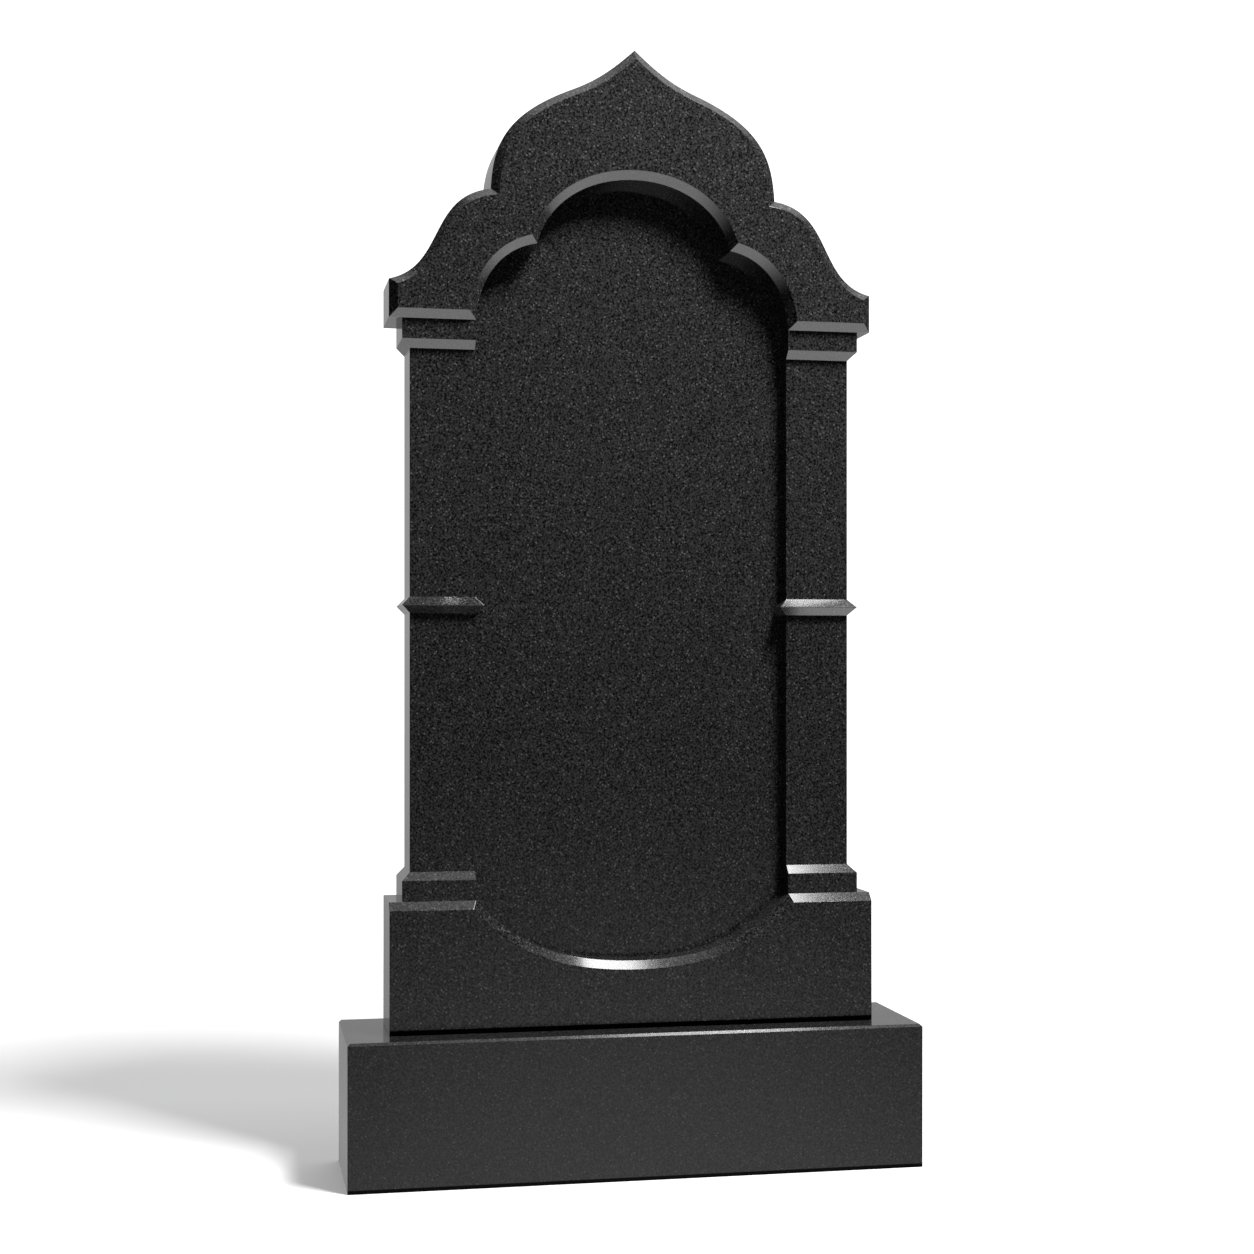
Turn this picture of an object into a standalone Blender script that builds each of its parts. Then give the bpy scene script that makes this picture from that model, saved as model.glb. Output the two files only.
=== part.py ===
"""Arched headstone: a carved stele of dark polished granite on a plain granite block.

Metres, +Z up, front towards -Y, origin at the centre of the block's underside.
"""

from math import radians

import bmesh
import bpy
from mathutils import Vector
from mathutils.geometry import intersect_line_line_2d

# Stele as a whole
STELE_WIDTH = 0.511
STELE_THICKNESS = 0.080

# Block under the stele
SIDE_LEDGE = 0.0445  # block left bare beside the stele, each side
FACE_LEDGE = 0.035  # block left bare before the stele, and behind it
BLOCK_HEIGHT = 0.150
BLOCK_ARRIS = 0.002  # small chamfer round the block's top edges
BED_JOINT = 0.0003  # gap between the block and the stele

# Mouldings
CHAMFER = 0.0085  # depth and width of every moulded edge
BAND_INSET = 0.0135  # side of a band, in from the side of the stele
BAND_HEIGHT = 0.0295  # band under the cap or over the apron, with its chamfer

# Tiers, from the underside of the stele to the underside of the cap
SILL_HEIGHT = 0.069  # solid apron under the niche
FOOT_DIP = 0.066  # curved foot of the niche, below the apron's top
LOWER_SHAFT = 0.274  # lower band to the belt's ridge
UPPER_SHAFT = 0.2635  # belt's ridge to the upper band

# Cap
CAP_SIDE = 0.0395  # upright side
SHOULDER_REACH = 0.1045
SHOULDER_RISE = 0.096
DOME_RISE = 0.151

# Niche
PILASTER_WIDTH = 0.0675  # flat of the shaft beside the niche
PANEL_DEPTH = 0.017  # panel, behind the flat of the shaft
LOBE_REACH = 0.0635  # side lobe of the head
LOBE_RISE = 0.081
CROWN_RISE = 0.070  # middle lobe, over the cusps

# Free curves. A pair of leads is where the handles lie, as shares of the curve's run and rise.
DOME_TURN = (0.438, 0.707)  # where the dome turns hollow, as shares of its half width and rise
SHOULDER_LEADS = ((0.552, 0.134), (0.623, 0.093))
DOME_LEADS = ((0.029, 0.411), (0.847, 0.275))
TIP_LEADS = ((0.432, 0.263), (0.321, 0.430))
FOOT_LEADS = ((0.604, 0.0), (0.189, 0.490))
LOBE_LEADS = ((0.057, 0.650), (0.467, 0.058))
CROWN_LEADS = ((0.092, 0.566), (0.529, 0.0))
CURVE_STEPS = 20

# Sizes that follow from those above
HALF_WIDTH = STELE_WIDTH / 2
BAND_HALF = HALF_WIDTH - BAND_INSET
SHAFT_HALF = BAND_HALF - CHAMFER
NICHE_HALF = SHAFT_HALF - PILASTER_WIDTH
NECK_HALF = HALF_WIDTH - SHOULDER_REACH
CUSP_HALF = NICHE_HALF - LOBE_REACH

FRONT = -STELE_THICKNESS / 2
BACK = STELE_THICKNESS / 2
BAND_FACE = FRONT + CHAMFER
SHAFT_FACE = BAND_FACE + CHAMFER
PANEL_FACE = SHAFT_FACE + PANEL_DEPTH

BLOCK_HALF_WIDTH = HALF_WIDTH + SIDE_LEDGE
BLOCK_HALF_DEPTH = STELE_THICKNESS / 2 + FACE_LEDGE

STELE_FOOT = BLOCK_HEIGHT + BED_JOINT
NICHE_FOOT = STELE_FOOT + SILL_HEIGHT
APRON_TOP = NICHE_FOOT + FOOT_DIP
LOWER_BAND_TOP = APRON_TOP + BAND_HEIGHT
BELT_RIDGE = LOWER_BAND_TOP + LOWER_SHAFT
UPPER_BAND_FOOT = BELT_RIDGE + UPPER_SHAFT
CAP_FOOT = UPPER_BAND_FOOT + BAND_HEIGHT
CAP_SIDE_TOP = CAP_FOOT + CAP_SIDE
NECK = CAP_SIDE_TOP + SHOULDER_RISE
APEX = NECK + DOME_RISE
CUSP = CAP_FOOT + LOBE_RISE
CROWN = CUSP + CROWN_RISE

CUTTER_MARGIN = 0.002  # how far the niche's cutter starts before the stele's face


def granite(name, color, roughness):
    """A polished granite material."""
    material = bpy.data.materials.new(name)
    material.use_nodes = True
    shader = material.node_tree.nodes["Principled BSDF"]
    shader.inputs["Base Color"].default_value = (*color, 1)
    shader.inputs["Roughness"].default_value = roughness
    shader.inputs["Metallic"].default_value = 0
    return material


def curve(start, end, leads):
    """Points of a cubic curve from start to end, both included."""
    start = Vector(start)
    end = Vector(end)
    chord = end - start
    leave, arrive = (Vector((lead[0] * chord.x, lead[1] * chord.y)) for lead in leads)
    points = []
    for step in range(CURVE_STEPS + 1):
        t = step / CURVE_STEPS
        u = 1 - t
        swing = 3 * u * u * t * (start + leave) + 3 * u * t * t * (end - arrive)
        points.append(u * u * u * start + swing + t * t * t * end)
    return points


def flipped(stretch):
    """The same stretch on the other side of the centre line, still run anticlockwise."""
    return [Vector((-point.x, point.y)) for point in reversed(stretch)]


def straight(start, end):
    """A straight stretch."""
    return [Vector(start), Vector(end)]


def shifted(stretch, distance):
    """A stretch moved to its right, with both ends run on so that it crosses its neighbours."""
    normals = [-(b - a).orthogonal().normalized() for a, b in zip(stretch, stretch[1:])]
    befores = [normals[0], *normals]
    afters = [*normals, normals[-1]]
    moved = []
    for point, before, after in zip(stretch, befores, afters):
        mitre = (before + after) / (1 + before.dot(after))
        moved.append(point + mitre * distance)
    run_on = 4 * abs(distance)
    moved[0] = moved[0] + (moved[0] - moved[1]).normalized() * run_on
    moved[-1] = moved[-1] + (moved[-1] - moved[-2]).normalized() * run_on
    return moved


def crossing(first, second):
    """How far along each of two neighbouring stretches they cross, in points."""
    for i in reversed(range(len(first) - 1)):
        for j in range(len(second) - 1):
            sides = (first[i], first[i + 1], second[j], second[j + 1])
            point = intersect_line_line_2d(*sides)
            if point:
                along_first = (point - sides[0]).length / (sides[1] - sides[0]).length
                along_second = (point - sides[2]).length / (sides[3] - sides[2]).length
                return i + along_first, j + along_second
    raise ValueError("Two stretches of an outline don't meet")


def at(stretch, place):
    """The point this far along a stretch."""
    index = min(int(place), len(stretch) - 2)
    return stretch[index].lerp(stretch[index + 1], place - index)


def outline(stretches, outward=0):
    """The closed outline made of anticlockwise stretches, moved outward with its corners mitred."""
    if not outward:
        return [point for stretch in stretches for point in stretch[:-1]]
    moved = [shifted(stretch, outward) for stretch in stretches]
    meets = [crossing(moved[i - 1], moved[i]) for i in range(len(moved))]
    points = []
    for i, stretch in enumerate(moved):
        begin = meets[i][1]
        end = meets[(i + 1) % len(moved)][0]
        pieces = len(stretch) - 1
        points += [at(stretch, begin + (end - begin) * piece / pieces) for piece in range(pieces)]
    return points


def upright(points, depth):
    """An outline stood upright at this depth."""
    return [(point.x, depth, point.y) for point in points]


def level(half_width, front, back, height):
    """A level rectangle, run anticlockwise seen from above."""
    return [
        (-half_width, front, height),
        (half_width, front, height),
        (half_width, back, height),
        (-half_width, back, height),
    ]


def loft(name, rings):
    """A closed object whose skin runs through rings of equally many points."""
    bm = bmesh.new()
    loops = [[bm.verts.new(point) for point in ring] for ring in rings]
    bm.faces.new(loops[0])
    bm.faces.new(loops[-1])
    for low, high in zip(loops, loops[1:]):
        for i in range(len(low)):
            bm.faces.new((low[i - 1], low[i], high[i], high[i - 1]))
    bmesh.ops.recalc_face_normals(bm, faces=bm.faces)
    mesh = bpy.data.meshes.new(name)
    bm.to_mesh(mesh)
    bm.free()
    obj = bpy.data.objects.new(name, mesh)
    bpy.context.scene.collection.objects.link(obj)
    return obj


def carve(obj, operation, tool):
    """Joins or cuts an object with another, which isn't rendered."""
    tool.hide_render = True
    tool.display_type = "WIRE"
    boolean = obj.modifiers.new(tool.name, "BOOLEAN")
    boolean.operation = operation
    boolean.solver = "EXACT"
    boolean.object = tool


def apply_carving(obj):
    """Keeps the carved shape as the object's own mesh."""
    graph = bpy.context.evaluated_depsgraph_get()
    obj.data = bpy.data.meshes.new_from_object(obj.evaluated_get(graph))
    obj.data.name = obj.name
    obj.modifiers.clear()


def finish(obj, material):
    """Gives an object its stone, smooth along its curves and crisp at its arrises."""
    obj.data.materials.clear()
    obj.data.materials.append(material)
    obj.data.shade_smooth()
    obj.data.set_sharp_from_angle(angle=radians(25))


def apron():
    """The wide foot of the stele, its top front edge chamfered."""
    sections = (
        (STELE_FOOT, FRONT),
        (APRON_TOP - CHAMFER, FRONT),
        (APRON_TOP, BAND_FACE),
    )
    return loft("stele", [level(HALF_WIDTH, front, BACK, z) for z, front in sections])


def shaft():
    """Both bands, the shaft and its belt, run on into the apron and the cap."""
    into_apron = APRON_TOP - CHAMFER / 2
    into_cap = CAP_FOOT + CHAMFER / 2
    sections = (
        (into_apron, BAND_HALF, BAND_FACE),
        (LOWER_BAND_TOP - CHAMFER, BAND_HALF, BAND_FACE),
        (LOWER_BAND_TOP, SHAFT_HALF, SHAFT_FACE),
        (BELT_RIDGE - CHAMFER, SHAFT_HALF, SHAFT_FACE),
        (BELT_RIDGE, BAND_HALF, BAND_FACE),
        (BELT_RIDGE + CHAMFER, SHAFT_HALF, SHAFT_FACE),
        (UPPER_BAND_FOOT, SHAFT_HALF, SHAFT_FACE),
        (UPPER_BAND_FOOT + CHAMFER, BAND_HALF, BAND_FACE),
        (into_cap, BAND_HALF, BAND_FACE),
    )
    return loft("shaft", [level(half, front, BACK, z) for z, half, front in sections])


def cap():
    """The cap with its ogee dome and two shoulders, chamfered all round its face."""
    side = straight((HALF_WIDTH, CAP_FOOT), (HALF_WIDTH, CAP_SIDE_TOP))
    shoulder = curve(side[-1], (NECK_HALF, NECK), SHOULDER_LEADS)
    turn = (NECK_HALF * DOME_TURN[0], NECK + DOME_RISE * DOME_TURN[1])
    dome = curve(shoulder[-1], turn, DOME_LEADS)
    tip = curve(turn, (0, APEX), TIP_LEADS)
    right = [side, shoulder, dome[:-1] + tip]
    left = [flipped(stretch) for stretch in reversed(right)]
    stretches = [straight((-HALF_WIDTH, CAP_FOOT), (HALF_WIDTH, CAP_FOOT)), *right, *left]
    face = outline(stretches, -CHAMFER)
    body = outline(stretches)
    return loft("cap", [upright(face, FRONT), upright(body, BAND_FACE), upright(body, BACK)])


def niche():
    """The hollow of the niche, whose walls give way to the belt, splayed out at the front."""
    foot = curve((0, NICHE_FOOT), (NICHE_HALF, APRON_TOP), FOOT_LEADS)
    below = straight((NICHE_HALF, APRON_TOP), (NICHE_HALF, BELT_RIDGE - CHAMFER))
    belt_rise = straight(below[-1], (NICHE_HALF - CHAMFER, BELT_RIDGE))
    belt_fall = straight(belt_rise[-1], (NICHE_HALF, BELT_RIDGE + CHAMFER))
    above = straight(belt_fall[-1], (NICHE_HALF, CAP_FOOT))
    lobe = curve(above[-1], (CUSP_HALF, CUSP), LOBE_LEADS)
    crown = curve(lobe[-1], (0, CROWN), CROWN_LEADS)
    right = [below, belt_rise, belt_fall, above, lobe]
    left = [flipped(stretch) for stretch in reversed(right)]
    stretches = [flipped(foot)[:-1] + foot, *right, crown[:-1] + flipped(crown), *left]
    mouth = outline(stretches, CHAMFER + CUTTER_MARGIN)
    wall = outline(stretches)
    rings = [
        upright(mouth, FRONT - CUTTER_MARGIN),
        upright(wall, BAND_FACE),
        upright(wall, PANEL_FACE),
    ]
    return loft("niche", rings)


def stele():
    """The carved stone, cut in one piece."""
    stone = apron()
    steps = (("UNION", shaft()), ("UNION", cap()), ("DIFFERENCE", niche()))
    for operation, tool in steps:
        carve(stone, operation, tool)
    apply_carving(stone)
    for operation, tool in steps:
        bpy.data.objects.remove(tool)
    finish(stone, granite("stele granite", (0.022, 0.022, 0.023), 0.16))


def block():
    """The plain block that the stele stands on, its top edges lightly chamfered."""
    width = BLOCK_HALF_WIDTH
    depth = BLOCK_HALF_DEPTH
    rings = [
        level(width, -depth, depth, 0),
        level(width, -depth, depth, BLOCK_HEIGHT - BLOCK_ARRIS),
        level(width - BLOCK_ARRIS, BLOCK_ARRIS - depth, depth - BLOCK_ARRIS, BLOCK_HEIGHT),
    ]
    finish(loft("base_block", rings), granite("block granite", (0.028, 0.028, 0.029), 0.18))


def main():
    """Clears the scene and builds the headstone."""
    for obj in list(bpy.data.objects):
        bpy.data.objects.remove(obj)
    stele()
    block()


main()
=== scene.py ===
"""Arched headstone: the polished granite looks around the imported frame, with its studio and camera.

Metres, +Z up, the carved front towards -Y, origin at the centre of the block's underside.
"""

import logging
from dataclasses import dataclass
from enum import Enum
from math import cos, radians, sin

import bmesh
import bpy
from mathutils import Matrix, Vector
from mathutils.geometry import intersect_line_line_2d


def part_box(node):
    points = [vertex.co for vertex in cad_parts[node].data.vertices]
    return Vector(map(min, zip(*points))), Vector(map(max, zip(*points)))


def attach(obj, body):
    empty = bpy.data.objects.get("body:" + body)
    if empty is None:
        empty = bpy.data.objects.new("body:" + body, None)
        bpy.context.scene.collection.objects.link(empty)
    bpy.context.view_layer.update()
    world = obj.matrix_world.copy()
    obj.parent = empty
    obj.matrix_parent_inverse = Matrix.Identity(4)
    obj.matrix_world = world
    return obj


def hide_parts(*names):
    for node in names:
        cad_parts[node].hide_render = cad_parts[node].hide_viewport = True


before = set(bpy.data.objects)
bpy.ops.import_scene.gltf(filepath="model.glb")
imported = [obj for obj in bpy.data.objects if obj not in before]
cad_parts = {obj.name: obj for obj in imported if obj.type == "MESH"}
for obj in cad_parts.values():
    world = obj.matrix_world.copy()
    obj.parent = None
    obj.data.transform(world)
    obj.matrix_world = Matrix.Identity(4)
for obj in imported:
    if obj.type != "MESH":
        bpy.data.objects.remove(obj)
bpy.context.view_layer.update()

logging.basicConfig(level=logging.INFO, format="%(message)s")
log = logging.getLogger("headstone")

PHOTO_SIDE = 1254  # pixels along each side of the photograph
SENSOR_WIDTH = 36.0  # millimetres
BODY = "root"
WELD = 1e-5  # metres between two points that are one
SMOOTH_TURN = 9.0  # degrees between two faces that light runs smoothly across
ARRIS_TURN = 20.0  # degrees between two faces from which their edge is an arris
UPRIGHT = 0.99  # how much of an upright edge's length is height
RUN_ON = 4  # how far a moved run is run on at each end, in times the move

Point2 = tuple[float, float]
Point3 = tuple[float, float, float]
Span = tuple[float, float]
Leads = tuple[Span, Span]


class Carving(Enum):
    """What a tool does to the stone."""

    JOIN = "UNION"
    CUT = "DIFFERENCE"


class Run(Enum):
    """How a value runs from one end of a span to the other."""

    EVEN = "LINEAR"
    SOFT = "SMOOTHSTEP"


class Working(Enum):
    """What a new value is worked out by."""

    PRODUCT = "MULTIPLY"
    TOTAL = "ADD"
    ANGLE = "ARCCOSINE"


class Lights(Enum):
    """What a glow of the surroundings lights."""

    EVERYTHING = ""
    MIRRORS = "Is Glossy Ray"
    MATT = "Is Diffuse Ray"


@dataclass(frozen=True)
class Stretch:
    """One run of an outline between two corners, anticlockwise as seen from the front."""

    points: tuple[Vector, ...]

    @classmethod
    def straight(cls, start: Point2, end: Point2) -> "Stretch":
        """A straight run from start to end."""
        return cls((Vector(start), Vector(end)))

    @classmethod
    def curved(cls, start: Point2, end: Point2, leads: Leads, steps: int) -> "Stretch":
        """A cubic curve.

        Args:
            start: Where it begins.
            end: Where it ends.
            leads: Where its two handles lie, as shares of its run and rise.
            steps: How many straight pieces it is made of.

        Returns:
            The curve as a stretch, with both ends.
        """
        first = Vector(start)
        last = Vector(end)
        chord = last - first
        leave, arrive = (Vector((lead[0] * chord.x, lead[1] * chord.y)) for lead in leads)
        points = []
        for step in range(steps + 1):
            t = step / steps
            u = 1 - t
            swing = 3 * u * u * t * (first + leave) + 3 * u * t * t * (last - arrive)
            points.append(u * u * u * first + swing + t * t * t * last)
        return cls(tuple(points))

    @property
    def end(self) -> Point2:
        """Its last point."""
        return tuple(self.points[-1])

    def flipped(self) -> "Stretch":
        """The same run on the other side of the centre line, still anticlockwise."""
        return Stretch(tuple(Vector((-point.x, point.y)) for point in reversed(self.points)))

    def run_into(self, following: "Stretch") -> "Stretch":
        """This run and the one that follows it, as one with no corner between them."""
        return Stretch((*self.points[:-1], *following.points))

    def shifted(self, distance: float) -> "Stretch":
        """This run moved to its right.

        Args:
            distance: How far it moves, in metres.

        Returns:
            The moved run, its ends run on so that it crosses its neighbours.
        """
        pairs = zip(self.points, self.points[1:])
        normals = [-(b - a).orthogonal().normalized() for a, b in pairs]
        befores = [normals[0], *normals]
        afters = [*normals, normals[-1]]
        moved = []
        for point, before, after in zip(self.points, befores, afters):
            mitre = (before + after) / (1 + before.dot(after))
            moved.append(point + mitre * distance)
        run_on = RUN_ON * abs(distance)
        moved[0] = moved[0] + (moved[0] - moved[1]).normalized() * run_on
        moved[-1] = moved[-1] + (moved[-1] - moved[-2]).normalized() * run_on
        return Stretch(tuple(moved))

    def crossing(self, following: "Stretch") -> tuple[float, float]:
        """Where this run crosses the one that follows it.

        Args:
            following: The neighbouring run.

        Returns:
            How far along each of the two they cross, counted in points.
        """
        for i in reversed(range(len(self.points) - 1)):
            for j in range(len(following.points) - 1):
                ends = (*self.points[i : i + 2], *following.points[j : j + 2])
                point = intersect_line_line_2d(*ends)
                if point:
                    along = (point - ends[0]).length / (ends[1] - ends[0]).length
                    along_following = (point - ends[2]).length / (ends[3] - ends[2]).length
                    return i + along, j + along_following
        raise ValueError("Two stretches of an outline don't meet")

    def at(self, place: float) -> Vector:
        """The point this far along, counted in points."""
        index = min(int(place), len(self.points) - 2)
        return self.points[index].lerp(self.points[index + 1], place - index)


@dataclass(frozen=True)
class Outline:
    """A closed outline made of anticlockwise stretches that meet at corners."""

    stretches: tuple[Stretch, ...]

    @classmethod
    def mirrored(
        cls, middle_low: Stretch, right: list[Stretch], middle_high: Stretch | None = None
    ) -> "Outline":
        """An outline with the same run on both sides.

        Args:
            middle_low: The stretch that crosses the centre line below.
            right: The stretches of the right side, upwards.
            middle_high: The stretch that crosses the centre line above, if there is one.

        Returns:
            The whole outline.
        """
        left = [stretch.flipped() for stretch in reversed(right)]
        high = [middle_high] if middle_high else []
        return cls((middle_low, *right, *high, *left))

    def ring(self, outward: float = 0.0) -> list[Vector]:
        """The outline's points.

        Args:
            outward: How far the outline moves outward, its corners mitred.

        Returns:
            As many points whatever the move.
        """
        if not outward:
            return [point for stretch in self.stretches for point in stretch.points[:-1]]
        moved = [stretch.shifted(outward) for stretch in self.stretches]
        meets = [moved[i - 1].crossing(moved[i]) for i in range(len(moved))]
        points = []
        for i, stretch in enumerate(moved):
            begin = meets[i][1]
            end = meets[(i + 1) % len(moved)][0]
            pieces = len(stretch.points) - 1
            places = (begin + (end - begin) * piece / pieces for piece in range(pieces))
            points += [stretch.at(place) for place in places]
        return points


@dataclass(frozen=True)
class Section:
    """A level section of a stone, with the same half width on both sides."""

    height: float
    half_width: float
    front: float
    back: float

    def ring(self) -> list[Point3]:
        """Its four corners, anticlockwise as seen from above."""
        return [
            (-self.half_width, self.front, self.height),
            (self.half_width, self.front, self.height),
            (self.half_width, self.back, self.height),
            (-self.half_width, self.back, self.height),
        ]


def upright(points: list[Vector], depth: float) -> list[Point3]:
    """An outline stood upright at this depth."""
    return [(point.x, depth, point.y) for point in points]


def loft(name: str, rings: list[list[Point3]]) -> bpy.types.Object:
    """Makes a closed piece whose skin runs through rings of equally many points.

    Args:
        name: The piece's name.
        rings: The rings, the first and the last of them closed by flat faces.

    Returns:
        The new mesh object, in the scene.
    """
    bm = bmesh.new()
    loops = [[bm.verts.new(point) for point in ring] for ring in rings]
    bm.faces.new(loops[0])
    bm.faces.new(loops[-1])
    for low, high in zip(loops, loops[1:]):
        for i in range(len(low)):
            bm.faces.new((low[i - 1], low[i], high[i], high[i - 1]))
    bmesh.ops.recalc_face_normals(bm, faces=bm.faces)
    mesh = bpy.data.meshes.new(name)
    bm.to_mesh(mesh)
    bm.free()
    piece = bpy.data.objects.new(name, mesh)
    bpy.context.scene.collection.objects.link(piece)
    return piece


def settle(stone: bpy.types.Object) -> None:
    """Works the piece's modifiers into its mesh."""
    graph = bpy.context.evaluated_depsgraph_get()
    mesh = bpy.data.meshes.new_from_object(stone.evaluated_get(graph))
    stone.modifiers.clear()
    stone.data = mesh
    mesh.name = stone.name


def carved(stone: bpy.types.Object, steps: list[tuple[Carving, bpy.types.Object]]) -> None:
    """Joins and cuts a stone with tools, which are then thrown away.

    Args:
        stone: The piece that is carved.
        steps: The tools in order, each with what it does.
    """
    for carving, tool in steps:
        boolean = stone.modifiers.new(tool.name, "BOOLEAN")
        boolean.operation = carving.value
        boolean.solver = "EXACT"
        boolean.object = tool
    settle(stone)
    for _, tool in steps:
        bpy.data.objects.remove(tool)


def merge_flats(stone: bpy.types.Object, flat_angle: float) -> None:
    """Makes one face of the neighbouring faces that lie in one plane.

    Args:
        stone: The carved piece.
        flat_angle: How far out of one plane they may be, in degrees.
    """
    bm = bmesh.new()
    bm.from_mesh(stone.data)
    bmesh.ops.remove_doubles(bm, verts=bm.verts, dist=WELD)
    bmesh.ops.dissolve_limit(
        bm, angle_limit=radians(flat_angle), verts=bm.verts, edges=bm.edges
    )
    bm.to_mesh(stone.data)
    bm.free()


@dataclass(frozen=True)
class Arris:
    """How the edges that stand out on a stone are eased. Sizes are in metres."""

    width: float
    upright_width: float
    faces: int

    def weigh(self, stone: bpy.types.Object, foot: float) -> None:
        """Picks the edges that are eased, and says by how much of the full width.

        Args:
            stone: The piece.
            foot: The level of its underside, whose edges stay sharp.
        """
        bm = bmesh.new()
        bm.from_mesh(stone.data)
        weight = bm.edges.layers.float.new("bevel_weight_edge")
        for edge in bm.edges:
            stands_out = edge.calc_face_angle_signed(0.0) > radians(ARRIS_TURN)
            levels = [vert.co.z for vert in edge.verts]
            above_foot = max(levels) > foot + self.width
            upright = max(levels) - min(levels) > UPRIGHT * edge.calc_length()
            share = self.upright_width / self.width if upright else 1.0
            edge[weight] = share if stands_out and above_foot else 0.0
        bm.to_mesh(stone.data)
        bm.free()

    def ease(self, stone: bpy.types.Object, foot: float) -> None:
        """Eases the edges, and lets light run smoothly along the curves but not across the flats.

        Args:
            stone: The piece.
            foot: The level of its underside.
        """
        self.weigh(stone, foot)
        arris = stone.modifiers.new("arris", "BEVEL")
        arris.width = self.width
        arris.segments = self.faces
        arris.limit_method = "WEIGHT"
        arris.use_clamp_overlap = False
        arris.miter_outer = "MITER_ARC"
        settle(stone)
        stone.data.shade_smooth()
        stone.data.set_sharp_from_angle(angle=radians(SMOOTH_TURN))
        flats = stone.modifiers.new("flats", "WEIGHTED_NORMAL")
        flats.mode = "FACE_AREA"
        flats.keep_sharp = True


def remapped(
    tree: bpy.types.NodeTree,
    value: bpy.types.NodeSocket,
    source: Span,
    target: Span = (0.0, 1.0),
    run: Run = Run.EVEN,
) -> bpy.types.NodeSocket:
    """Runs a value from one span into another.

    Args:
        tree: The node tree it belongs to.
        value: The value.
        source: The span it runs over, outside which it is held.
        target: What the two ends of that span become.
        run: How it runs between them.

    Returns:
        The new value.
    """
    node = tree.nodes.new("ShaderNodeMapRange")
    node.interpolation_type = run.value
    node.inputs["From Min"].default_value = source[0]
    node.inputs["From Max"].default_value = source[1]
    node.inputs["To Min"].default_value = target[0]
    node.inputs["To Max"].default_value = target[1]
    tree.links.new(value, node.inputs["Value"])
    return node.outputs["Result"]


def worked_out(
    tree: bpy.types.NodeTree, working: Working, *values: bpy.types.NodeSocket
) -> bpy.types.NodeSocket:
    """Works out a new value from one or two.

    Args:
        tree: The node tree they belong to.
        working: What is done with them.
        values: The values.

    Returns:
        The new value.
    """
    node = tree.nodes.new("ShaderNodeMath")
    node.operation = working.value
    for socket, value in zip(node.inputs, values):
        tree.links.new(value, socket)
    return node.outputs["Value"]


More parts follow.
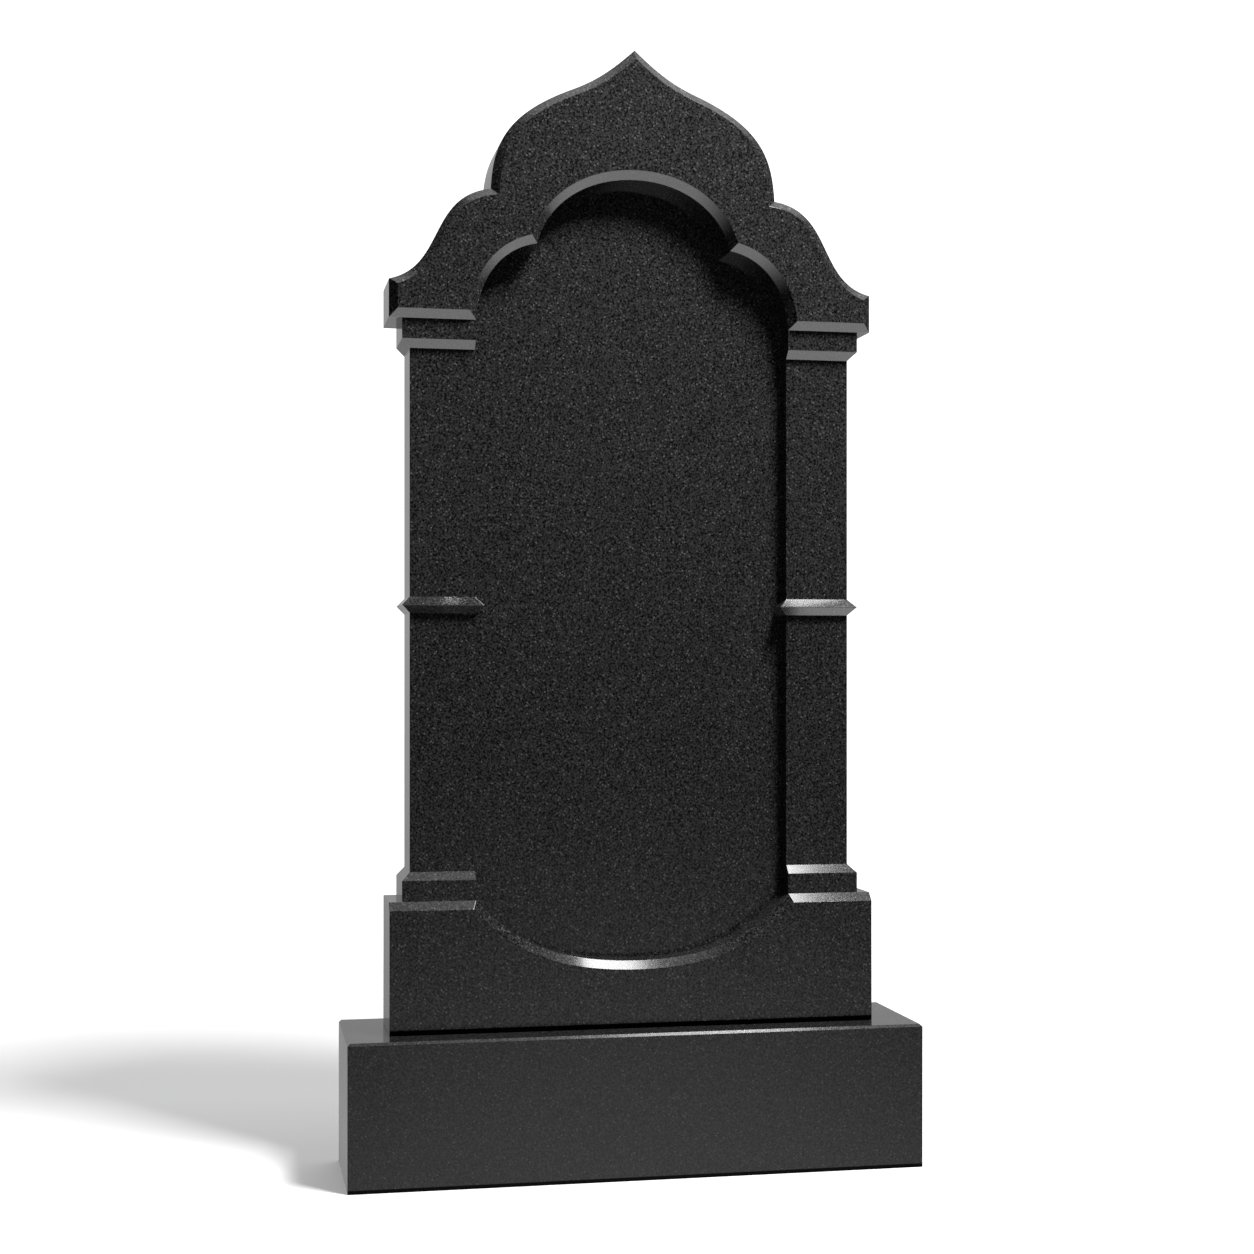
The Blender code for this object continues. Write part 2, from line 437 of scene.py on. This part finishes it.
@dataclass(frozen=True)
class PolishedGranite:
    """Near-black granite, polished, with pale flecks as fine as a grain of sand.

    Sizes are in metres. The pattern is solid: it runs through the stone from face to face.
    """

    name: str
    slot: str
    tones: Span = (0.003, 0.033)
    fleck_tone: float = 0.11
    matrix_size: float = 0.0021
    matrix_detail: float = 2.0
    matrix_roughness: float = 0.6
    matrix_span: Span = (0.38, 0.62)
    fleck_size: float = 0.0025
    fleck_share: float = 0.30
    fleck_fade: Span = (0.5, 0.15)
    polish: Span = (0.11, 0.13)
    relief: float = 0.000002
    patch_size: float = 0.09
    patch_detail: float = 3.0
    patch_span: Span = (0.45, 0.75)
    patch_wear: float = 0.03
    splash_height: float = 0.05
    splash_wear: float = 0.04
    foot: float = 0.0
    # A painted contact shadow along the foot: the lowest few millimetres are darkened and made
    # metallic, so they mirror next to nothing, standing in for shade where the stone meets the
    # ground.
    contact_shade_height: float = 0.004
    contact_shade_blur: float = 0.0004
    contact_shade_strength: float = 0.9
    tilt: Point3 = (0.6, 0.4, 1.1)
    ior: float = 1.5

    def matrix(self, tree: bpy.types.NodeTree, place: bpy.types.NodeSocket) -> bpy.types.NodeSocket:
        """The fine grain between the flecks.

        Args:
            tree: The material's node tree.
            place: Where in the stone.

        Returns:
            A value that wavers about a half.
        """
        noise = tree.nodes.new("ShaderNodeTexNoise")
        noise.inputs["Scale"].default_value = 1 / self.matrix_size
        noise.inputs["Detail"].default_value = self.matrix_detail
        noise.inputs["Roughness"].default_value = self.matrix_roughness
        tree.links.new(place, noise.inputs["Vector"])
        return noise.outputs["Fac"]

    def flecks(self, tree: bpy.types.NodeTree, place: bpy.types.NodeSocket) -> bpy.types.NodeSocket:
        """Picks a few crystals and says how much of one lies at each place.

        Args:
            tree: The material's node tree.
            place: Where in the stone.

        Returns:
            0 between the flecks, up to 1 inside them.
        """
        crystals = tree.nodes.new("ShaderNodeTexVoronoi")
        crystals.inputs["Scale"].default_value = 1 / self.fleck_size
        tree.links.new(place, crystals.inputs["Vector"])
        lot = tree.nodes.new("ShaderNodeSeparateColor")
        tree.links.new(crystals.outputs["Color"], lot.inputs["Color"])
        chosen = remapped(tree, lot.outputs["Red"], (1 - self.fleck_share, 1.0))
        core = remapped(tree, crystals.outputs["Distance"], self.fleck_fade)
        return worked_out(tree, Working.PRODUCT, chosen, core)

    def wear(self, tree: bpy.types.NodeTree, place: bpy.types.NodeSocket) -> bpy.types.NodeSocket:
        """How much duller the polish is in worn patches, and low down where rain splashes.

        Args:
            tree: The material's node tree.
            place: Where in the stone.

        Returns:
            What is added to the roughness.
        """
        patches = tree.nodes.new("ShaderNodeTexNoise")
        patches.inputs["Scale"].default_value = 1 / self.patch_size
        patches.inputs["Detail"].default_value = self.patch_detail
        tree.links.new(place, patches.inputs["Vector"])
        worn = remapped(tree, patches.outputs["Fac"], self.patch_span, (0.0, self.patch_wear))
        splash = (self.foot + self.splash_height, self.foot)
        low = remapped(tree, self.height(tree, place), splash, (0.0, self.splash_wear))
        return worked_out(tree, Working.TOTAL, worn, low)

    def height(self, tree: bpy.types.NodeTree, place: bpy.types.NodeSocket) -> bpy.types.NodeSocket:
        """The height of each place above the ground."""
        split = tree.nodes.new("ShaderNodeSeparateXYZ")
        tree.links.new(place, split.inputs["Vector"])
        return split.outputs["Z"]

    def above_painted_shade(
        self, tree: bpy.types.NodeTree, place: bpy.types.NodeSocket, change: Span
    ) -> bpy.types.NodeSocket:
        """A value that changes above the painted contact shadow along the foot.

        Args:
            tree: The material's node tree.
            place: Where in the stone.
            change: What it is in the painted contact shadow, and above it.

        Returns:
            The value.
        """
        line = self.foot + self.contact_shade_height
        edge = (line - self.contact_shade_blur, line + self.contact_shade_blur)
        return remapped(tree, self.height(tree, place), edge, change)

    def material(self) -> bpy.types.Material:
        """Builds the granite's node material."""
        material = bpy.data.materials.new(self.name)
        material.use_nodes = True
        tree = material.node_tree
        shader = tree.nodes["Principled BSDF"]
        shader.inputs["IOR"].default_value = self.ior
        place = tree.nodes.new("ShaderNodeTexCoord").outputs["Object"]
        tilted = tree.nodes.new("ShaderNodeMapping")
        tilted.inputs["Rotation"].default_value = self.tilt
        tree.links.new(place, tilted.inputs["Vector"])
        grain = self.matrix(tree, tilted.outputs["Vector"])
        tone = tree.nodes.new("ShaderNodeMix")
        tone.inputs["B"].default_value = self.fleck_tone
        tree.links.new(self.flecks(tree, tilted.outputs["Vector"]), tone.inputs["Factor"])
        tree.links.new(remapped(tree, grain, self.matrix_span, self.tones), tone.inputs["A"])
        # Painted contact shadow: the base colour is darkened along the foot.
        unshaded_share = self.above_painted_shade(tree, place, (1 - self.contact_shade_strength, 1.0))
        tone_with_painted_shade = worked_out(tree, Working.PRODUCT, tone.outputs["Result"], unshaded_share)
        tree.links.new(tone_with_painted_shade, shader.inputs["Base Color"])
        # Painted shade: along the foot the darkened colour is made metallic, so it mirrors next to
        # nothing, standing in for the contact shadow and its dark reflection of the ground.
        painted_shade_metal = self.above_painted_shade(tree, place, (self.contact_shade_strength, 0.0))
        tree.links.new(painted_shade_metal, shader.inputs["Metallic"])
        polish = remapped(tree, grain, self.matrix_span, self.polish)
        gloss = worked_out(tree, Working.TOTAL, polish, self.wear(tree, place))
        tree.links.new(gloss, shader.inputs["Roughness"])
        bump = tree.nodes.new("ShaderNodeBump")
        bump.inputs["Distance"].default_value = self.relief
        tree.links.new(grain, bump.inputs["Height"])
        tree.links.new(bump.outputs["Normal"], shader.inputs["Normal"])
        return material


@dataclass
class Stele:
    """The carved slab: cap, bands, shaft with its belt, apron and sunk niche, cut from one stone.

    Sizes are in metres. The foot, the faces and the width come from the frame.
    """

    finish: PolishedGranite
    name: str = "carved_stele"
    node: str = "stele"
    chamfer: float = 0.0085
    band_inset: float = 0.0135
    band_height: float = 0.0295
    sill_height: float = 0.069
    foot_dip: float = 0.066
    lower_shaft: float = 0.274
    upper_shaft: float = 0.2635
    cap_side: float = 0.0395
    shoulder_reach: float = 0.1045
    shoulder_rise: float = 0.096
    dome_rise: float = 0.151
    pilaster_width: float = 0.0675
    panel_depth: float = 0.017
    lobe_reach: float = 0.0635
    lobe_rise: float = 0.081
    crown_rise: float = 0.070
    dome_turn: Point2 = (0.438, 0.707)
    shoulder_leads: Leads = ((0.552, 0.134), (0.623, 0.093))
    dome_leads: Leads = ((0.029, 0.411), (0.847, 0.275))
    tip_leads: Leads = ((0.432, 0.263), (0.321, 0.430))
    foot_leads: Leads = ((0.604, 0.0), (0.189, 0.490))
    lobe_leads: Leads = ((0.057, 0.650), (0.467, 0.058))
    crown_leads: Leads = ((0.092, 0.566), (0.529, 0.0))
    curve_steps: int = 48
    cutter_margin: float = 0.002
    arris: Arris = Arris(width=0.0004, upright_width=0.0004, faces=2)
    flat_angle: float = 0.02

    def __post_init__(self) -> None:
        """Works out the levels and half widths from the sizes and from the frame."""
        low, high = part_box(self.node)
        self.front = low.y
        self.back = high.y
        self.foot = low.z
        self.half_width = high.x
        self.band_face = self.front + self.chamfer
        self.shaft_face = self.band_face + self.chamfer
        self.panel_face = self.shaft_face + self.panel_depth
        self.band_half = self.half_width - self.band_inset
        self.shaft_half = self.band_half - self.chamfer
        self.niche_half = self.shaft_half - self.pilaster_width
        self.neck_half = self.half_width - self.shoulder_reach
        self.cusp_half = self.niche_half - self.lobe_reach
        self.niche_foot = self.foot + self.sill_height
        self.apron_top = self.niche_foot + self.foot_dip
        self.lower_band_top = self.apron_top + self.band_height
        self.belt_ridge = self.lower_band_top + self.lower_shaft
        self.upper_band_foot = self.belt_ridge + self.upper_shaft
        self.cap_foot = self.upper_band_foot + self.band_height
        self.cap_side_top = self.cap_foot + self.cap_side
        self.neck = self.cap_side_top + self.shoulder_rise
        self.apex = self.neck + self.dome_rise
        self.cusp = self.cap_foot + self.lobe_rise
        self.crown = self.cusp + self.crown_rise

    def apron(self) -> bpy.types.Object:
        """The wide foot of the stele, its top front edge chamfered."""
        sections = [
            Section(self.foot, self.half_width, self.front, self.back),
            Section(self.apron_top - self.chamfer, self.half_width, self.front, self.back),
            Section(self.apron_top, self.half_width, self.band_face, self.back),
        ]
        return loft(self.name, [section.ring() for section in sections])

    def shaft(self) -> bpy.types.Object:
        """Both bands, the shaft and its belt, run on into the apron and the cap."""
        into_apron = self.apron_top - self.chamfer / 2
        into_cap = self.cap_foot + self.chamfer / 2
        band = (self.band_half, self.band_face, self.back)
        flat = (self.shaft_half, self.shaft_face, self.back)
        sections = [
            Section(into_apron, *band),
            Section(self.lower_band_top - self.chamfer, *band),
            Section(self.lower_band_top, *flat),
            Section(self.belt_ridge - self.chamfer, *flat),
            Section(self.belt_ridge, *band),
            Section(self.belt_ridge + self.chamfer, *flat),
            Section(self.upper_band_foot, *flat),
            Section(self.upper_band_foot + self.chamfer, *band),
            Section(into_cap, *band),
        ]
        return loft("shaft", [section.ring() for section in sections])

    def cap(self) -> bpy.types.Object:
        """The cap with its ogee dome and two shoulders, chamfered all round its face."""
        steps = self.curve_steps
        turn_across, turn_up = self.dome_turn
        turn = (self.neck_half * turn_across, self.neck + self.dome_rise * turn_up)
        side = Stretch.straight(
            (self.half_width, self.cap_foot), (self.half_width, self.cap_side_top)
        )
        shoulder = Stretch.curved(
            side.end, (self.neck_half, self.neck), self.shoulder_leads, steps
        )
        dome = Stretch.curved(shoulder.end, turn, self.dome_leads, steps)
        tip = Stretch.curved(turn, (0.0, self.apex), self.tip_leads, steps)
        soffit = Stretch.straight(
            (-self.half_width, self.cap_foot), (self.half_width, self.cap_foot)
        )
        profile = Outline.mirrored(soffit, [side, shoulder, dome.run_into(tip)])
        rings = [
            upright(profile.ring(-self.chamfer), self.front),
            upright(profile.ring(), self.band_face),
            upright(profile.ring(), self.back),
        ]
        return loft("cap", rings)

    def niche(self) -> bpy.types.Object:
        """The hollow of the niche, whose walls give way to the belt, splayed out at the front."""
        steps = self.curve_steps
        half = self.niche_half
        ridge_half = half - self.chamfer
        foot = Stretch.curved(
            (0.0, self.niche_foot), (half, self.apron_top), self.foot_leads, steps
        )
        below = Stretch.straight(foot.end, (half, self.belt_ridge - self.chamfer))
        belt_rise = Stretch.straight(below.end, (ridge_half, self.belt_ridge))
        belt_fall = Stretch.straight(belt_rise.end, (half, self.belt_ridge + self.chamfer))
        above = Stretch.straight(belt_fall.end, (half, self.cap_foot))
        lobe = Stretch.curved(above.end, (self.cusp_half, self.cusp), self.lobe_leads, steps)
        crown = Stretch.curved(lobe.end, (0.0, self.crown), self.crown_leads, steps)
        profile = Outline.mirrored(
            foot.flipped().run_into(foot),
            [below, belt_rise, belt_fall, above, lobe],
            crown.run_into(crown.flipped()),
        )
        rings = [
            upright(
                profile.ring(self.chamfer + self.cutter_margin),
                self.front - self.cutter_margin,
            ),
            upright(profile.ring(), self.band_face),
            upright(profile.ring(), self.panel_face),
        ]
        return loft("niche", rings)

    def build(self) -> bpy.types.Object:
        """Carves the stele and gives it its granite.

        Returns:
            The finished piece, riding on the part's body in place of the plain solid.
        """
        stone = self.apron()
        steps = [
            (Carving.JOIN, self.shaft()),
            (Carving.JOIN, self.cap()),
            (Carving.CUT, self.niche()),
        ]
        carved(stone, steps)
        merge_flats(stone, self.flat_angle)
        self.arris.ease(stone, self.foot)
        stone.data.materials.clear()
        stone.data.materials.append(self.finish.material())
        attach(stone, BODY)
        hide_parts(self.node)
        return stone


@dataclass
class Block:
    """The plain block under the stele, its arrises eased. Its size comes from the frame."""

    finish: PolishedGranite
    name: str = "eased_block"
    node: str = "base_block"
    arris: Arris = Arris(width=0.0026, upright_width=0.0004, faces=1)

    def build(self) -> bpy.types.Object:
        """Makes the block and gives it its granite.

        Returns:
            The finished piece, riding on the part's body in place of the plain solid.
        """
        low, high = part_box(self.node)
        sections = [Section(z, high.x, low.y, high.y) for z in (low.z, high.z)]
        stone = loft(self.name, [section.ring() for section in sections])
        self.arris.ease(stone, low.z)
        stone.data.materials.append(self.finish.material())
        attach(stone, BODY)
        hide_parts(self.node)
        return stone


def direction(azimuth: float, elevation: float) -> Vector:
    """The unit vector towards an azimuth, from the front round by the right, and an elevation."""
    turn, rise = radians(azimuth), radians(elevation)
    return Vector((cos(rise) * sin(turn), -cos(rise) * cos(turn), sin(rise)))


@dataclass(frozen=True)
class Softbox:
    """A rectangular studio light that faces a point of the part."""

    name: str
    place: Point3
    aim: Point3
    width: float
    length: float
    power: float

    def build(self) -> bpy.types.Object:
        """Hangs the light in the scene."""
        light = bpy.data.lights.new(self.name, "AREA")
        light.shape = "RECTANGLE"
        light.size = self.width
        light.size_y = self.length
        light.energy = self.power
        lamp = bpy.data.objects.new(self.name, light)
        lamp.location = self.place
        facing = Vector(self.aim) - Vector(self.place)
        lamp.rotation_euler = facing.to_track_quat("-Z", "Y").to_euler()
        bpy.context.scene.collection.objects.link(lamp)
        return lamp


@dataclass(frozen=True)
class Glow:
    """A soft patch of brightness far off in one direction, in degrees."""

    azimuth: float
    elevation: float
    core: float
    reach: float
    strength: float
    lights: Lights = Lights.EVERYTHING


@dataclass
class Studio:
    """A plain pale floor, soft light and white all round."""

    floor_side: float = 30.0
    floor_tone: float = 0.8
    floor_roughness: float = 0.9
    floor_lift: float = 0.18
    white_from: float = 0.9
    white_to: float = 2.2
    softboxes: tuple[Softbox, ...] = (
        Softbox("key", (0.63, -0.91, 2.42), (0.0, 0.0, 0.6), 0.49, 0.46, 98.0),
        Softbox("overhead", (0.68, -0.30, 2.7), (0.68, -0.30, 0.0), 0.40, 0.42, 12.0),
    )
    glows: tuple[Glow, ...] = (
        Glow(100.0, -80.0, 33.0, 84.0, 3.5, Lights.MIRRORS),
        Glow(11.0, -20.0, 5.0, 18.0, 0.66, Lights.MIRRORS),
        Glow(0.0, 0.0, 0.0, 150.0, 0.22, Lights.MATT),
        Glow(160.0, 68.0, 22.0, 42.0, 1.2),
        Glow(180.0, 17.0, 16.0, 42.0, 0.51),
    )

    def floor(self) -> bpy.types.Object:
        """Lays the floor under the part, whitened further out, where the lights don't reach."""
        half = self.floor_side / 2
        mesh = bpy.data.meshes.new("floor")
        corners = [(-half, -half, 0.0), (half, -half, 0.0), (half, half, 0.0), (-half, half, 0.0)]
        mesh.from_pydata(corners, [], [(0, 1, 2, 3)])
        floor = bpy.data.objects.new("floor", mesh)
        bpy.context.scene.collection.objects.link(floor)
        paint = bpy.data.materials.new("pale floor")
        paint.use_nodes = True
        tree = paint.node_tree
        shader = tree.nodes["Principled BSDF"]
        shader.inputs["Base Color"].default_value = (*(self.floor_tone,) * 3, 1.0)
        shader.inputs["Roughness"].default_value = self.floor_roughness
        shader.inputs["Specular IOR Level"].default_value = 0.0
        shader.inputs["Emission Color"].default_value = (1.0, 1.0, 1.0, 1.0)
        place = tree.nodes.new("ShaderNodeTexCoord").outputs["Object"]
        length = tree.nodes.new("ShaderNodeVectorMath")
        length.operation = "LENGTH"
        tree.links.new(place, length.inputs[0])
        reach = (self.white_from, self.white_to)
        lift = (self.floor_lift, 1.0)
        white = remapped(tree, length.outputs["Value"], reach, lift, Run.SOFT)
        tree.links.new(white, shader.inputs["Emission Strength"])
        mesh.materials.append(paint)
        floor.visible_glossy = False
        floor.visible_diffuse = False
        return floor

    def surroundings(self) -> None:
        """Lights the world by its glows, white where the camera looks past the part."""
        world = bpy.data.worlds.new("studio")
        bpy.context.scene.world = world
        world.use_nodes = True
        tree = world.node_tree
        background = tree.nodes["Background"]
        background.inputs["Color"].default_value = (1.0, 1.0, 1.0, 1.0)
        looking = tree.nodes.new("ShaderNodeTexCoord").outputs["Generated"]
        rays = tree.nodes.new("ShaderNodeLightPath")
        total = rays.outputs["Is Camera Ray"]
        for glow in self.glows:
            toward = tree.nodes.new("ShaderNodeVectorMath")
            toward.operation = "DOT_PRODUCT"
            toward.inputs[1].default_value = direction(glow.azimuth, glow.elevation)
            tree.links.new(looking, toward.inputs[0])
            angle = worked_out(tree, Working.ANGLE, toward.outputs["Value"])
            spread = (radians(glow.reach), radians(glow.core))
            light = remapped(tree, angle, spread, (0.0, glow.strength), Run.SOFT)
            if glow.lights is not Lights.EVERYTHING:
                light = worked_out(tree, Working.PRODUCT, light, rays.outputs[glow.lights.value])
            total = worked_out(tree, Working.TOTAL, total, light)
        tree.links.new(total, background.inputs["Strength"])

    def build(self) -> None:
        """Sets up the floor, the lights and the white surroundings."""
        self.floor()
        self.surroundings()
        for softbox in self.softboxes:
            softbox.build()
        bpy.context.scene.view_settings.view_transform = "Standard"


@dataclass(frozen=True)
class PhotoCamera:
    """The camera that took the photograph, left of the part and level with its lower half."""

    place: Point3 = (-0.4267, -2.1321, 0.5205)
    turn: float = 11.27
    lens: float = 59.0
    horizon_row: float = 671.5

    def build(self) -> bpy.types.Object:
        """Sets up the camera as the scene's own."""
        data = bpy.data.cameras.new("camera")
        data.sensor_width = SENSOR_WIDTH
        data.lens = self.lens
        data.shift_y = (self.horizon_row - PHOTO_SIDE / 2) / PHOTO_SIDE
        camera = bpy.data.objects.new("camera", data)
        camera.location = self.place
        camera.rotation_euler = (radians(90), 0.0, radians(-self.turn))
        bpy.context.scene.collection.objects.link(camera)
        bpy.context.scene.camera = camera
        return camera


def report(piece: bpy.types.Object) -> None:
    """Logs a finished piece with its face count."""
    finished = piece.evaluated_get(bpy.context.evaluated_depsgraph_get())
    mesh = finished.to_mesh()
    mesh.calc_loop_triangles()
    log.info("%s: %d triangles", piece.name, len(mesh.loop_triangles))
    finished.to_mesh_clear()


def main() -> None:
    """Builds the headstone's two stones, the studio and the camera."""
    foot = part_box(Stele.node)[0].z
    # The stele's painted contact shadow along its foot is 5 mm high.
    fine = PolishedGranite("stele granite", "stele_granite", foot=foot, contact_shade_height=0.005)
    dull = PolishedGranite("block granite", "block_granite", tones=(0.006, 0.029), fleck_tone=0.08)
    report(Stele(fine).build())
    report(Block(dull).build())
    Studio().build()
    PhotoCamera().build()


if __name__ == "__main__":
    main()
